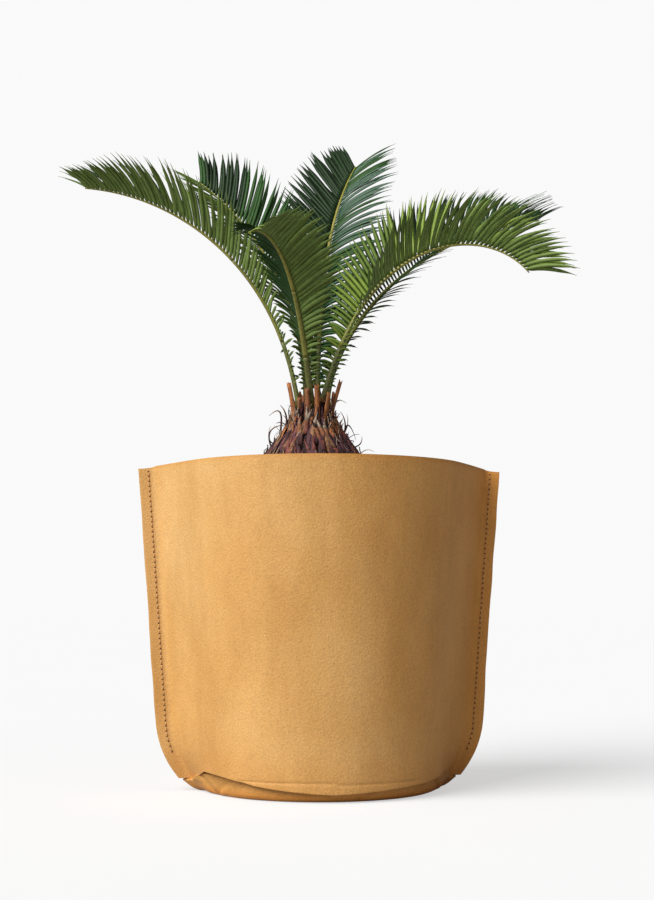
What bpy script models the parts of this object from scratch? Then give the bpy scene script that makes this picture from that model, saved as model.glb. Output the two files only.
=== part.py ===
"""Sago palm in a sewn leather pot. Metres, +Z up, origin under the middle of the pot.

The pot is two leather panels, front and back, sewn face to face in an upright flange at each side,
round a leather tray. Soil fills it. A short trunk with a shaggy foot and cut leaf stalks stands on
the soil, and six fronds spring from its top. Each frond is a rib with a rank of leaflets on each
side, in two solids that part at its bend.
"""
import math
from collections import namedtuple

import bmesh
import bpy
from mathutils import Matrix, Vector
from mathutils.bvhtree import BVHTree

MM = 0.001
GAP = 0.3 * MM
JOIN_WELD = 0.0001 * MM

# Pot
RIM_HEIGHT = 262 * MM
RIM_SEAM = 137 * MM
FOOT_SEAM = 116.5 * MM
SEAM_STANDS_OUT = 18 * MM
LEATHER = 2.6 * MM
FLANGE = 13 * MM
FILLET = 7 * MM
TUCK_HEIGHT = 52 * MM
TUCK_CURVE = 23.5 * MM
TUCK_LIMIT = 17 * MM
TUCK_FROM = math.radians(33)
TUCK_TO = math.radians(60)
HEM_AT_SEAM = 10 * MM
HEM_PEAK = 19 * MM
HEM_PEAK_AT = math.radians(40)
HEM_MIDDLE = 6.5 * MM
TRAY_TOP = 21.7 * MM
SOIL_BOTTOM = TRAY_TOP + GAP
SOIL_TOP = 243.7 * MM
SOIL_EDGE = 237 * MM
SOIL_FLAT = 0.45
TRAY_CLEAR = 2.2 * MM
SOIL_CLEAR = 0.8 * MM
PANEL_LEVELS = [SOIL_BOTTOM] + [level * MM for level in (31, 41, 52, 100, 160, 215)] + [RIM_HEIGHT]
HEM_ROWS = 2
FILLET_STEPS = 3
WALL_STEPS = 7
TRAY_PROFILE = [(0, TRAY_TOP), (1, TRAY_TOP), (1, 12 * MM), (0.985, 6 * MM), (0.96, 2.5 * MM),
                (0.92, 0.6 * MM), (0.87, 0), (0, 0)]

# Trunk, on its own axis, a little left of the pot's
TRUNK_X = -7 * MM
GROUND = SOIL_TOP + GAP
NECK_TOP = 315 * MM
TRUNK_STEPS = 20
SCALE_ROWS = 5
SCALES_A_ROW = 11
SCALE_HEIGHTS = (252 * MM, 306 * MM)
SCALE_WIDTHS = (17 * MM, 8 * MM)
SCALE_THICK = 5 * MM
SCALE_ROOT = (-4 * MM, -5 * MM)
SCALE_MIDDLE = (0.5 * MM, 3 * MM)
SCALE_TIP = (4 * MM, 11 * MM)
STUBS = 12
STUB_WIDTH = 6 * MM
STUB_RISE = 30 * MM
STUB_SUNK = 14 * MM
STUB_RADIUS = 14.5 * MM
STUB_TURN = 0.3
STUB_TAPER = 0.8
STUB_LEAN = 12
TRUNK_PROFILE = [(17 * MM, NECK_TOP), (18 * MM, 309 * MM), (21 * MM, 301 * MM), (27 * MM, 291.5 * MM),
                 (33 * MM, 283 * MM), (40 * MM, 272 * MM), (45 * MM, 262 * MM), (47 * MM, 251 * MM),
                 (46 * MM, GROUND)]

# Fronds
FOOT = NECK_TOP + GAP
BEND_START = 318 * MM
PITCH = 7.4 * MM
BLADE_WIDTH = 4.6 * MM
BLADE_THICK = 0.75 * MM
BLADE_CLEAR = 0.4 * MM
ROOT_SHARE = 0.6
CUT_SHARES = (1.0, 0.8, 0.62, 0.45)
BARE = 0.16
LAST = 0.985
PART_AT = 0.5
LOWEST_SHARE = 0.25
FULL_FROM = 0.45
FULL_TO = 0.72
DROOP = (0.8, 0.35)
FORWARD = 0.25
LINE_STEPS = 6
RIB_STEPS = 120
STALK_STEPS = 4
TIP_RADIUS = 0.6
STALK_TAPER = 1.1

# Pairs run from foot to tip: degrees for the angles, millimetres for the rest. roll turns the frond
# about its rib, vee lifts both ranks, sweep is a leaflet's angle to the rib, leaf is the longest one.
Frond = namedtuple("Frond", "name foot stalk length azimuth elevation bend roll vee sweep leaf tip_share")
FRONDS = (
    Frond("front", (-9, -10), 3.2, 192, (247, 240), (66, -28), 2.4, (-45, -40), (45, 66), (58, 50), 60, 0.6),
    Frond("right", (1, -5), 2.7, 247, (-14, -20), (73, -53), 1.8, (68, 15), (35, 45), (74, 60), 68, 0.8),
    Frond("left", (-20, -4), 2.3, 265, (185, 185), (80, 1), 1.15, (0, 0), (48, 45), (72, 50), 60, 0.6),
    Frond("back", (-2, 9), 2.6, 262, (75, 60), (88, 42), 0.92, (0, 0), (25, 25), (68, 46), 64, 0.75),
    Frond("back_left", (-12, 7), 2.4, 230, (150, 150), (91, 38), 0.85, (-28, -20), (40, 40), (74, 50), 62, 0.6),
    Frond("back_right", (6, 4), 2.5, 315, (30, 25), (90, 12), 0.5, (35, 10), (40, 45), (84, 50), 70, 0.45),
)


def smooth(x):
    x = min(max(x, 0.0), 1.0)
    return x * x * (3 - 2 * x)


def mix(pair, t):
    return pair[0] + (pair[1] - pair[0]) * t


def make_material(name, colour, roughness):
    material = bpy.data.materials.new(name)
    material.use_nodes = True
    shader = material.node_tree.nodes["Principled BSDF"]
    shader.inputs["Base Color"].default_value = (*colour, 1)
    shader.inputs["Roughness"].default_value = roughness
    shader.inputs["Metallic"].default_value = 0
    return material


def add_object(name, mesh, material=None):
    item = bpy.data.objects.new(name, mesh)
    PLANT.objects.link(item)
    if material:
        mesh.materials.append(material)
    return item


def mesh_from(bm, name):
    bmesh.ops.recalc_face_normals(bm, faces=bm.faces)
    mesh = bpy.data.meshes.new(name)
    bm.to_mesh(mesh)
    bm.free()
    return mesh


def freeze(item, weld=0.01 * MM):
    """Swap an object for one that holds its evaluated mesh, with the loose ends welded."""
    evaluated = item.evaluated_get(bpy.context.evaluated_depsgraph_get())
    bm = bmesh.new()
    bm.from_mesh(bpy.data.meshes.new_from_object(evaluated))
    bmesh.ops.remove_doubles(bm, verts=bm.verts, dist=weld)
    bm.transform(item.matrix_world)
    name = item.name
    bpy.data.objects.remove(item)
    return add_object(name, mesh_from(bm, name))


def join(body, tools):
    """Unite the objects in tools with body, apply it and remove them."""
    group = bpy.data.collections.new(body.name + "_joined")
    for tool in tools:
        PLANT.objects.unlink(tool)
        group.objects.link(tool)
    union = body.modifiers.new("union", "BOOLEAN")
    union.operation = "UNION"
    union.operand_type = "COLLECTION"
    union.collection = group
    union.solver = "EXACT"
    bpy.context.view_layer.update()
    joined = freeze(body, JOIN_WELD)
    for tool in tools:
        bpy.data.objects.remove(tool)
    bpy.data.collections.remove(group)
    return joined


def turned(name, profile, steps):
    """Turn a profile of (radius, height) points about Z, from the top of its axis to the foot."""
    mesh = bpy.data.meshes.new(name)
    edges = [(i, i + 1) for i in range(len(profile) - 1)]
    mesh.from_pydata([(radius, 0, height) for radius, height in profile], edges, [])
    item = add_object(name, mesh)
    screw = item.modifiers.new("turn", "SCREW")
    screw.steps = screw.render_steps = steps
    screw.use_merge_vertices = True
    screw.merge_threshold = 0.01 * MM
    screw.use_smooth_shade = False
    bpy.context.view_layer.update()
    return freeze(item)


def taper(height):
    return mix((FOOT_SEAM, RIM_SEAM), height / RIM_HEIGHT)


def tuck(height):
    """How far the leather is pulled in, low down beside the seams."""
    return min(TUCK_LIMIT, TUCK_CURVE * max(0.0, 1 - height / TUCK_HEIGHT) ** 2)


def wall_radius(theta, height):
    """The middle of the leather in the round part of the plan: theta is the angle from the seam."""
    ramp = min(max((theta - TUCK_FROM) / (TUCK_TO - TUCK_FROM), 0.0), 1.0)
    return taper(height) - SEAM_STANDS_OUT - tuck(height) * (1 - ramp)


def hem_height(theta):
    """A panel's lower edge, which rises from the seam and dips at the middle of the panel."""
    if theta < HEM_PEAK_AT:
        return mix((HEM_AT_SEAM, HEM_PEAK), math.sin(math.pi / 2 * theta / HEM_PEAK_AT))
    return mix((HEM_PEAK, HEM_MIDDLE), smooth((theta - HEM_PEAK_AT) / (math.pi / 2 - HEM_PEAK_AT)))


def quarter_plan(height, inward=0.0):
    """Points of a quarter of the plan, from the seam on the X axis to the middle of a panel.

    A panel leaves its flange by a tight curve and runs straight until it touches the round wall. The
    plan of a filling lies inward of the leather's middle, and its corner is on the X axis.
    """
    seam = taper(height) - tuck(height)
    centre = Vector((seam, (GAP + LEATHER) / 2 + FILLET))
    touch = math.acos((seam - SEAM_STANDS_OUT + FILLET) / centre.length) + math.atan2(centre.y, centre.x)
    radius = FILLET + inward
    corner = math.asin(min(1, centre.y / radius))
    turns = [mix((corner, touch), step / FILLET_STEPS) for step in range(FILLET_STEPS + 1)]
    points = [centre - Vector((math.cos(turn), math.sin(turn))) * radius for turn in turns]
    for step in range(WALL_STEPS + 1):
        theta = mix((touch, math.pi / 2), step / WALL_STEPS)
        points.append(Vector((math.cos(theta), math.sin(theta))) * (wall_radius(theta, height) - inward))
    return points


def panel_point(column, columns, row):
    """A point of the front panel: rows below the lowest level close up on the hem."""
    index = min(column, columns - column)
    at_rim = quarter_plan(RIM_HEIGHT)[max(0, index - 1)]
    low = hem_height(math.atan2(at_rim.y, at_rim.x))
    if row < HEM_ROWS:
        height = mix((low, PANEL_LEVELS[0]), row / HEM_ROWS)
    else:
        height = PANEL_LEVELS[row - HEM_ROWS]
    point = quarter_plan(height)[max(0, index - 1)]
    if index == 0:
        point.x += FLANGE
    return Vector((math.copysign(point.x, column - columns / 2), -point.y, height))


def make_panel(name, turn, material):
    columns = 2 * len(quarter_plan(RIM_HEIGHT))
    rows = HEM_ROWS + len(PANEL_LEVELS) - 1
    bm = bmesh.new()
    bmesh.ops.create_grid(bm, x_segments=columns, y_segments=rows, size=1)
    for vert in bm.verts:
        column = round((vert.co.x + 1) / 2 * columns)
        row = round((vert.co.y + 1) / 2 * rows)
        vert.co = panel_point(column, columns, row)
    panel = add_object(name, mesh_from(bm, name), material)
    panel.rotation_euler.z = turn
    shell = panel.modifiers.new("leather", "SOLIDIFY")
    shell.thickness = LEATHER
    shell.offset = 0
    shell.use_even_offset = True
    return panel


def make_filling(name, profile, clear, material):
    """A solid that fills the pot: the profile's radii are shares of the space inside the leather."""
    quarter = FILLET_STEPS + 1 + WALL_STEPS
    item = turned(name, profile, 4 * quarter)
    for vert in item.data.vertices:
        x, y, height = vert.co
        step = round(math.atan2(abs(y), abs(x)) / (math.pi / 2) * quarter)
        point = quarter_plan(height, LEATHER / 2 + clear)[step] * math.hypot(x, y)
        vert.co = (math.copysign(point.x, x), math.copysign(point.y, y), height)
    item.data.materials.append(material)
    return item


def make_pot():
    make_panel("pot_front_panel", 0, LEATHER_TAN)
    make_panel("pot_back_panel", math.pi, LEATHER_TAN)
    make_filling("pot_tray", TRAY_PROFILE, TRAY_CLEAR, LEATHER_TAN)
    wall = [(1, level) for level in reversed(PANEL_LEVELS[:4])]
    soil = [(0, SOIL_TOP), (SOIL_FLAT, SOIL_TOP), (1, SOIL_EDGE)] + wall + [(0, SOIL_BOTTOM)]
    make_filling("soil", soil, SOIL_CLEAR, SOIL_DARK)


def blade(bm, spine, across, width, thick):
    """Add a pointed three-sided blade: a rod whose upper cap is drawn out to the tip."""
    root, middle, tip = spine
    along = (tip - root).normalized()
    across = (across - along * across.dot(along)).normalized()
    face = along.cross(across)
    rod = bmesh.ops.create_cone(bm, cap_ends=True, segments=3, radius1=1, radius2=1, depth=2)["verts"]
    upper = {vert for vert in rod if vert.co.z > 0}
    cap = next(f for vert in upper for f in vert.link_faces if upper.issuperset(f.verts))
    point = bmesh.ops.poke(bm, faces=[cap])["verts"][0]
    for vert in rod:
        centre, share = (middle, 1.0) if vert in upper else (root, ROOT_SHARE)
        vert.co = (centre + across * vert.co.x * width * share / math.sqrt(3)
                   + face * vert.co.y * thick / 1.5)
    point.co = tip


def tree_of(item):
    bm = bmesh.new()
    bm.from_mesh(item.data)
    tree = BVHTree.FromBMesh(bm)
    bm.free()
    return tree


def is_clear(make, trees):
    """Whether the shape that make() adds, already fattened by its clearance, meets none of the trees."""
    bm = bmesh.new()
    make(bm)
    tree = BVHTree.FromBMesh(bm)
    bm.free()
    return not any(tree.overlap(other) for other in trees)


def rib_frames(frond):
    """Place, direction, across and upper side of a frond's rib, at even steps."""
    place = Vector((frond.foot[0] * MM, frond.foot[1] * MM, BEND_START))
    frames = []
    for step in range(RIB_STEPS + 1):
        u = step / RIB_STEPS
        rise = math.radians(mix(frond.elevation, u ** frond.bend))
        turn = math.radians(mix(frond.azimuth, u))
        roll = math.radians(mix(frond.roll, u))
        along = Vector((math.cos(rise) * math.cos(turn), math.cos(rise) * math.sin(turn), math.sin(rise)))
        level = Vector((-math.sin(turn), math.cos(turn), 0))
        normal = along.cross(level)
        across = level * math.cos(roll) + normal * math.sin(roll)
        upper = normal * math.cos(roll) - level * math.sin(roll)
        frames.append((place.copy(), along, across, upper))
        place += along * frond.length * MM / RIB_STEPS
    return frames


def frame_at(frames, u):
    step = min(int(u * RIB_STEPS), RIB_STEPS - 1)
    return [low.lerp(high, u * RIB_STEPS - step) for low, high in zip(frames[step], frames[step + 1])]


def leaflet_line(frond, frames, t, side):
    """The middle line of a leaflet and the rib's direction at its root: t runs from 0 to 1."""
    place, along, across, upper = frame_at(frames, mix((BARE, LAST), t))
    sweep = math.radians(mix(frond.sweep, t))
    vee = math.radians(mix(frond.vee, t))
    outward = across * side * math.cos(vee) + upper * math.sin(vee)
    heading = along * math.cos(sweep) + outward * math.sin(sweep)
    growth = mix((LOWEST_SHARE, 1), smooth(t / FULL_FROM))
    growth *= mix((1, frond.tip_share), smooth((t - FULL_TO) / (1 - FULL_TO)))
    pull = along * FORWARD - Vector((0, 0, mix(DROOP, t)))
    points = [place]
    for _ in range(LINE_STEPS):
        points.append(points[-1] + heading * frond.leaf * MM * growth / LINE_STEPS)
        heading = (heading + pull / LINE_STEPS).normalized()
    return points, along


def point_on(points, share):
    step = min(int(share * LINE_STEPS), LINE_STEPS - 1)
    return points[step].lerp(points[step + 1], share * LINE_STEPS - step)


def stations(frond):
    """How many pitches a rank has, the first one past the bend, and where the rib parts there."""
    count = round((LAST - BARE) * frond.length * MM / PITCH)
    first_outer = round(count * (PART_AT - BARE) / (LAST - BARE))
    return count, first_outer, mix((BARE, LAST), (first_outer - 0.5) / count)


def make_rib(name, frond, frames, start, end):
    """Half a rib, a tapering rod with a ring at each leaflet; the lower half starts out upright."""
    count = stations(frond)[0]
    bare = [BARE * step / STALK_STEPS for step in range(STALK_STEPS)]
    rings = bare + [mix((BARE, LAST), index / count) for index in range(count + 1)]
    shares = [start] + [u for u in rings if start < u < end] + [end]
    points = [(frame_at(frames, u)[0], u) for u in shares]
    if start == 0:
        foot = Vector((points[0][0].x, points[0][0].y, FOOT))
        points.insert(0, (foot, 0))
    curve = bpy.data.curves.new(name, "CURVE")
    curve.dimensions = "3D"
    curve.bevel_depth = MM
    curve.bevel_resolution = 0
    curve.use_fill_caps = True
    spline = curve.splines.new("POLY")
    spline.points.add(len(points) - 1)
    for point, (place, u) in zip(spline.points, points):
        point.co = (*place, 1)
        point.radius = mix((TIP_RADIUS, frond.stalk), (1 - u) ** STALK_TAPER)
    item = add_object(name, curve)
    bpy.context.view_layer.update()
    return freeze(item)


def make_rank(name, frond, frames, side, indices, count, trees):
    """One rank of leaflets; one that would touch another limb is cut shorter, or left out."""
    bm = bmesh.new()
    for index in indices:
        line, along = leaflet_line(frond, frames, index / count, side)
        for share in CUT_SHARES:
            spine = (line[0], point_on(line, share / 2), point_on(line, share))
            fat = (BLADE_WIDTH + 2 * BLADE_CLEAR, BLADE_THICK + 2 * BLADE_CLEAR)
            if is_clear(lambda test: blade(test, spine, along, *fat), trees):
                blade(bm, spine, along, BLADE_WIDTH, BLADE_THICK)
                break
    return add_object(name, mesh_from(bm, name))


def make_frond_ribs(frond):
    """Both halves of a frond's rib, 0.3 mm apart at the bend."""
    frames = rib_frames(frond)
    part_at = stations(frond)[2]
    half_gap = GAP / 2 / (frond.length * MM)
    inner = make_rib(f"frond_{frond.name}_inner", frond, frames, 0, part_at - half_gap)
    outer = make_rib(f"frond_{frond.name}_outer", frond, frames, part_at + half_gap, 1)
    return frond, frames, inner, outer


def make_fronds(ribs, trunk):
    trees = {item.name: tree_of(item) for rib in ribs for item in rib[2:]}
    trees["trunk"] = tree_of(trunk)
    for frond, frames, inner, outer in ribs:
        count, first_outer, _ = stations(frond)
        halves = ((inner, range(first_outer)), (outer, range(first_outer, count + 1)))
        for rib, indices in halves:
            name = rib.name
            others = [tree for key, tree in trees.items() if not key.startswith(name)]
            ranks = [make_rank(f"{name}_rank{side}", frond, frames, side, indices, count, others)
                     for side in (1, -1)]
            for rank in ranks:
                trees[rank.name] = tree_of(rank)
            join(rib, ranks).data.materials.append(FROND_GREEN)


def make_scale(row, index):
    """A pointed leaf base that lies on the trunk's foot, its root sunk in."""
    share = (row + 0.5) / SCALE_ROWS
    angle = math.tau * (index + (row % 2) / 2) / SCALES_A_ROW
    height = mix(SCALE_HEIGHTS, share)
    outward = Vector((math.cos(angle), math.sin(angle), 0))
    axis = Vector((TRUNK_X, 0, height))
    radii = (trunk_radius(height), trunk_radius(height), trunk_radius(height + SCALE_TIP[1]))
    offsets = (SCALE_ROOT, SCALE_MIDDLE, SCALE_TIP)
    spine = [axis + outward * (radius + out) + Vector((0, 0, up)) for radius, (out, up) in zip(radii, offsets)]
    bm = bmesh.new()
    blade(bm, spine, Vector((0, 0, 1)).cross(outward), mix(SCALE_WIDTHS, share), SCALE_THICK)
    return add_object(f"scale_{row}_{index}", mesh_from(bm, "scale"))


def trunk_radius(height):
    """The trunk's outline, read between the points of its profile."""
    for (low_radius, low), (high_radius, high) in zip(TRUNK_PROFILE[1:], TRUNK_PROFILE):
        if low <= height <= high:
            return mix((low_radius, high_radius), (height - low) / (high - low))
    return TRUNK_PROFILE[0][0]


def make_stub(index, extra):
    """A cut leaf stalk at the neck's edge, four-sided and leaning out."""
    angle = math.tau * (index + STUB_TURN) / STUBS
    rise = STUB_RISE - (index * 5 % 7) * MM
    lean = math.radians(STUB_LEAN + index * 3 % 8)
    place = (Matrix.Translation((TRUNK_X, 0, NECK_TOP - STUB_SUNK))
             @ Matrix.Rotation(angle, 4, "Z") @ Matrix.Translation((STUB_RADIUS, 0, 0))
             @ Matrix.Rotation(lean, 4, "Y") @ Matrix.Translation((0, 0, rise / 2))
             @ Matrix.Rotation(math.pi / 4, 4, "Z"))
    radius = STUB_WIDTH / 2
    return lambda bm: bmesh.ops.create_cone(bm, cap_ends=True, segments=4, radius1=radius + extra,
                                            radius2=radius * STUB_TAPER + extra, depth=rise + extra, matrix=place)


def make_trunk(rib_trees):
    core = turned("trunk", [(0, NECK_TOP)] + TRUNK_PROFILE + [(0, GROUND)], TRUNK_STEPS)
    for vert in core.data.vertices:
        vert.co.x += TRUNK_X
    pieces = [make_scale(row, index) for row in range(SCALE_ROWS) for index in range(SCALES_A_ROW)]
    for index in range(STUBS):
        if is_clear(make_stub(index, BLADE_CLEAR), rib_trees):
            bm = bmesh.new()
            make_stub(index, 0)(bm)
            pieces.append(add_object(f"stub_{index}", mesh_from(bm, "stub")))
    trunk = join(core, pieces)
    trunk.data.materials.append(TRUNK_BROWN)
    return trunk


for old in list(bpy.data.objects):
    bpy.data.objects.remove(old)
PLANT = bpy.data.collections.new("sago_palm")
bpy.context.scene.collection.children.link(PLANT)
LEATHER_TAN = make_material("leather_tan", (0.55, 0.30, 0.12), 0.75)
SOIL_DARK = make_material("soil_dark", (0.05, 0.035, 0.025), 0.95)
TRUNK_BROWN = make_material("trunk_brown", (0.12, 0.05, 0.03), 0.85)
FROND_GREEN = make_material("frond_green", (0.06, 0.14, 0.04), 0.5)

make_pot()
RIBS = [make_frond_ribs(frond) for frond in FRONDS]
TRUNK = make_trunk([tree_of(item) for rib in RIBS for item in rib[2:]])
make_fronds(RIBS, TRUNK)
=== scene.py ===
"""Looks of the sago palm in its sewn leather pot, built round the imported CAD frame.

The pot's wall, the trunk and the fronds follow the named sizes and the laws of the CAD source, written
again here and carried on to finer forms inside the same box. Comments say where they depart from it.
"""
import math
import random
from collections import namedtuple

import bpy
from mathutils import Matrix, Vector, noise


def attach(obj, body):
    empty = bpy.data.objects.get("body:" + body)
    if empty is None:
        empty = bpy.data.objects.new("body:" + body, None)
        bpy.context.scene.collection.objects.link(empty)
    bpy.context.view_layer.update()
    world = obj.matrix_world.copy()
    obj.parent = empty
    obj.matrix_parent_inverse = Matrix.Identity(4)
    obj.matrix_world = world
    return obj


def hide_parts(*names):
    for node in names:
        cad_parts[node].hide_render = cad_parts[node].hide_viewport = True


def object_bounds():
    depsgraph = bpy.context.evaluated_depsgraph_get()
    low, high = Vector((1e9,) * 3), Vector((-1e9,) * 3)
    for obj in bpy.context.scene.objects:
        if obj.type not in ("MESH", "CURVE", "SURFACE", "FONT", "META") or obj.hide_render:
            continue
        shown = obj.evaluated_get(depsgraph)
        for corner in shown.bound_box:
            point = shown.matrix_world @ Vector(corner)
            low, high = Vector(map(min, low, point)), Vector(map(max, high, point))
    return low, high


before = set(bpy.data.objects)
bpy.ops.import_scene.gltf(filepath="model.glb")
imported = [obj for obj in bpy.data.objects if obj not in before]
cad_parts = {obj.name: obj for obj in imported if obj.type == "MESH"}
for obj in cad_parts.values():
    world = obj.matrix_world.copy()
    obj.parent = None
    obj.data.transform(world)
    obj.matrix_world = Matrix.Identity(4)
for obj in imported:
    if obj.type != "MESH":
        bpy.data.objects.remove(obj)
cad_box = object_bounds()

MM = 0.001
GAP = 0.3 * MM

# Pot, as in the CAD source but for the hem's rise, the seams' spread, the rim's fall and the foot of the
# wall, which isn't tucked in between the seams
RIM_HEIGHT = 262 * MM
RIM_SEAM = 137 * MM
FOOT_SEAM = 116.5 * MM
SEAM_STANDS_OUT = 18 * MM
LEATHER = 2.6 * MM
FLANGE = 13 * MM
FILLET = 7 * MM
TUCK_HEIGHT = 52 * MM
TUCK_CURVE = 23.5 * MM
TUCK_LIMIT = 17 * MM
HEM_AT_SEAM = 10 * MM
HEM_PEAK = 17.5 * MM
HEM_RISES_AT = math.radians(10)
HEM_PEAK_AT = math.radians(25)
HEM_MIDDLE = 6.5 * MM
SEAM_SPREAD = 4 * MM
LEAST_TOUCH = math.radians(14)
RIM_DROP = 3.2 * MM
RIM_DROP_FROM = 200 * MM
RIM_DROP_SHARES = 3.2
TRAY_TOP = 21.7 * MM
SOIL_BOTTOM = TRAY_TOP + GAP
SOIL_TOP = 243.7 * MM
SOIL_EDGE = 237 * MM
SOIL_FLAT = 0.45
TRAY_CLEAR = 2.2 * MM
SOIL_CLEAR = 0.8 * MM

# How finely the pot is meshed
CURVE_COLUMNS = 9
RUN_COLUMNS = 12
WALL_COLUMNS = 40
FLANGE_COLUMNS = 5
LOW_ROWS = 14
LOW_LEVELS = 15
LOW_LEVEL_STEP = 2.5 * MM
WALL_LEVELS = 40
WALL_FROM = 62 * MM

# The leather's unevenness, the crease above its hem and its worn edges; angles run from a seam at 0
HEM_UNEVEN = 1.7 * MM
UNEVEN_AT = 0.75
UNEVEN_WIDTH = 0.4
CREASE_HEIGHT = 14.3 * MM
CREASE_WAVE = 0.8 * MM
CREASE_DEPTH = 0.6 * MM
CREASE_WIDTH = 1 * MM
CREASE_FROM = 0.75
CREASE_FADE = 0.3
WORN_EDGE = 0.45 * MM
SHARP_ANGLE = math.radians(40)

# The base's turned-up wall: heights of its rings in mm, the curve below it, its folds as an angle round
# the pot and a lean in radians a metre, and the corners that stand out under the seams
TRAY_LEVELS = (21.7, 20, 18.5, 17.5, 16.5, 15.5, 14.5, 13.5, 12.5, 11.8, 11.2, 10.7, 10.3, 9.6)
TRAY_CURVE_TOP = 9.6 * MM
TRAY_CURVE_IN = 0.075
TRAY_CURVE_STEPS = 12
TRAY_FOLDS = ((0.33, 18), (0.62, -14), (2.55, -20), (2.8, 12), (-0.42, -16), (-0.75, 15),
              (-2.6, 18), (-2.82, -14), (-1.25, 22))
FOLD_HEIGHT = 8 * MM
FOLD_DEPTH = 1.3 * MM
FOLD_RIDGE = 0.6 * MM
CORNER_REACH = 95 * MM
CORNER_HALF_ANGLE = 0.56
CORNER_GROWTH = (0.3, 0.85)
CORNER_RIM_TOUCH = math.radians(30)
CORNER_OVER_HEM = 0.6 * MM
CORNER_FADE = 1.2 * MM

# Potting mix and stitches. A crumb's rings are lifts and widths in shares of its size, a needle hole's
# are radii and lifts in mm.
SOIL_TOP_RINGS = 14
SOIL_SLOPE_RINGS = 36
SOIL_WALL_LEVELS = (230, 190, 140, 90, 52, 41, 31)
CRUMBS = 900
CRUMB_REACH = 113 * MM
CRUMB_SUNK = 0.8 * MM
CRUMB_SIDES = 5
CRUMB_RINGS = ((-0.45, 0.5), (-0.1, 1.0), (0.3, 0.85), (0.5, 0.4))
STITCH_PITCH = 4.1 * MM
STITCH_INSET = 7.8 * MM
STITCHES_START = 5.5 * MM
STITCHES_SHORT = 34 * MM
HOLE_SIDES = 8
HOLE_RINGS = ((0.8, -0.5), (0.8, 0.1), (0.7, 0.14), (0.35, 0.02))

# Trunk, as in the CAD source but for its waist, the stalks' own cuts and leans, and finer scales
TRUNK_X = -7 * MM
GROUND = SOIL_TOP + GAP
NECK_TOP = 315 * MM
STUBS = 12
STUB_WIDTH = 6 * MM
STUB_RISE = 30 * MM
STUB_SUNK = 14 * MM
STUB_RADIUS = 14.5 * MM
STUB_TURN = 0.3
TRUNK_PROFILE = [(17 * MM, NECK_TOP), (18 * MM, 309 * MM), (21 * MM, 301 * MM), (27 * MM, 291.5 * MM),
                 (33 * MM, 283 * MM), (40 * MM, 272 * MM), (45 * MM, 262 * MM), (47 * MM, 251 * MM),
                 (46 * MM, GROUND)]
WAIST = 2.5 * MM
WAIST_HEIGHT = 293 * MM
WAIST_WIDTH = 12 * MM
CORE_RINGS = 50
CORE_SIDES = 110
SCALE_ROWS = 12
SCALES_A_ROW = (34, 18)
SCALES_TOP = 289 * MM
SHEATHS = 50
FIBRES = 90
# How much lower than STUB_RISE each stalk is cut in mm, and how far it leans out in degrees
STUB_CUTS = (-6, 9, 3, 11, 5, 13, -1, 12, 5, 2, 8, 7)
STUB_LEANS = (17, 13, 6, 10, 7, 12, 11, 14, 7, 3, 9, 12)
STUB_SLIMNESS = 0.82
INNER_STUBS = 9
INNER_STUB_RADIUS = 8.5 * MM
INNER_STUB_WIDTH = 4.4 * MM
# Widths along a scale and along a sheath, from foot to tip, as shares of the widest
SCALE_SHAPE = (0.85, 1.0, 1.0, 0.85, 0.62, 0.4, 0.2, 0.05)
SHEATH_SHAPE = (1.0, 1.0, 0.95, 0.9, 0.8, 0.62, 0.42, 0.25, 0.06)
# Long curled fibres: direction round the trunk, distances from its axis and heights in mm, thickness
HOOKS = (
    (188, ((33, 273), (36, 290), (22, 296)), 0.75),
    (178, ((27, 289), (27, 307), (36, 304)), 0.85),
    (196, ((23, 294), (24, 305), (29, 312)), 0.9),
    (172, ((30, 281), (36, 285), (35, 296)), 0.6),
    (-6, ((25, 286), (27, 298), (23, 308)), 0.8),
    (6, ((27, 291), (31, 297), (37, 285)), 0.7),
    (-14, ((35, 278), (40, 281), (41, 287)), 0.6),
    (12, ((17, 311), (22, 318), (30, 316)), 0.5),
    (-60, ((20, 303), (26, 309), (24, 318)), 0.7),
    (-120, ((20, 302), (27, 306), (27, 315)), 0.7),
    (90, ((24, 293), (30, 298), (33, 309)), 0.8),
    (60, ((30, 283), (37, 290), (34, 300)), 0.7),
    (120, ((31, 281), (38, 286), (38, 296)), 0.7),
)
HOOK_STEPS = 14

# Fronds, as in the CAD source but for the leaflets, which are closer, narrower, smoother in line and
# go on below the source's lowest, down to SCENE_BARE. Their pitch is set.
FOOT = NECK_TOP + GAP
BEND_START = 318 * MM
PITCH = 3.7 * MM
BLADE_WIDTH = 3.2 * MM
BARE = 0.16
SCENE_BARE = 0.045
LAST = 0.985
LOWEST_SHARE = 0.25
FULL_FROM = 0.45
FULL_TO = 0.72
DROOP = (0.8, 0.35)
FORWARD = 0.25
LINE_STEPS = 9
REACH_MARGIN = 0.6 * MM
SHORTER = 0.97
SWEEP_SCATTER = 1.6
VEE_SCATTER = 2.5
LOOSE_FOOT = 5
SPRAY = 3
LEAFLET_THICK = 0.42 * MM
LEAFLET_ARCH = 0.28
RIB_STEPS = 120
TIP_RADIUS = 0.6
STALK_TAPER = 1.1
RIB_SIDES = 10
RIB_RINGS = 60
RIB_SUNK = 6 * MM
RIB_FLATNESS = 0.72

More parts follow.
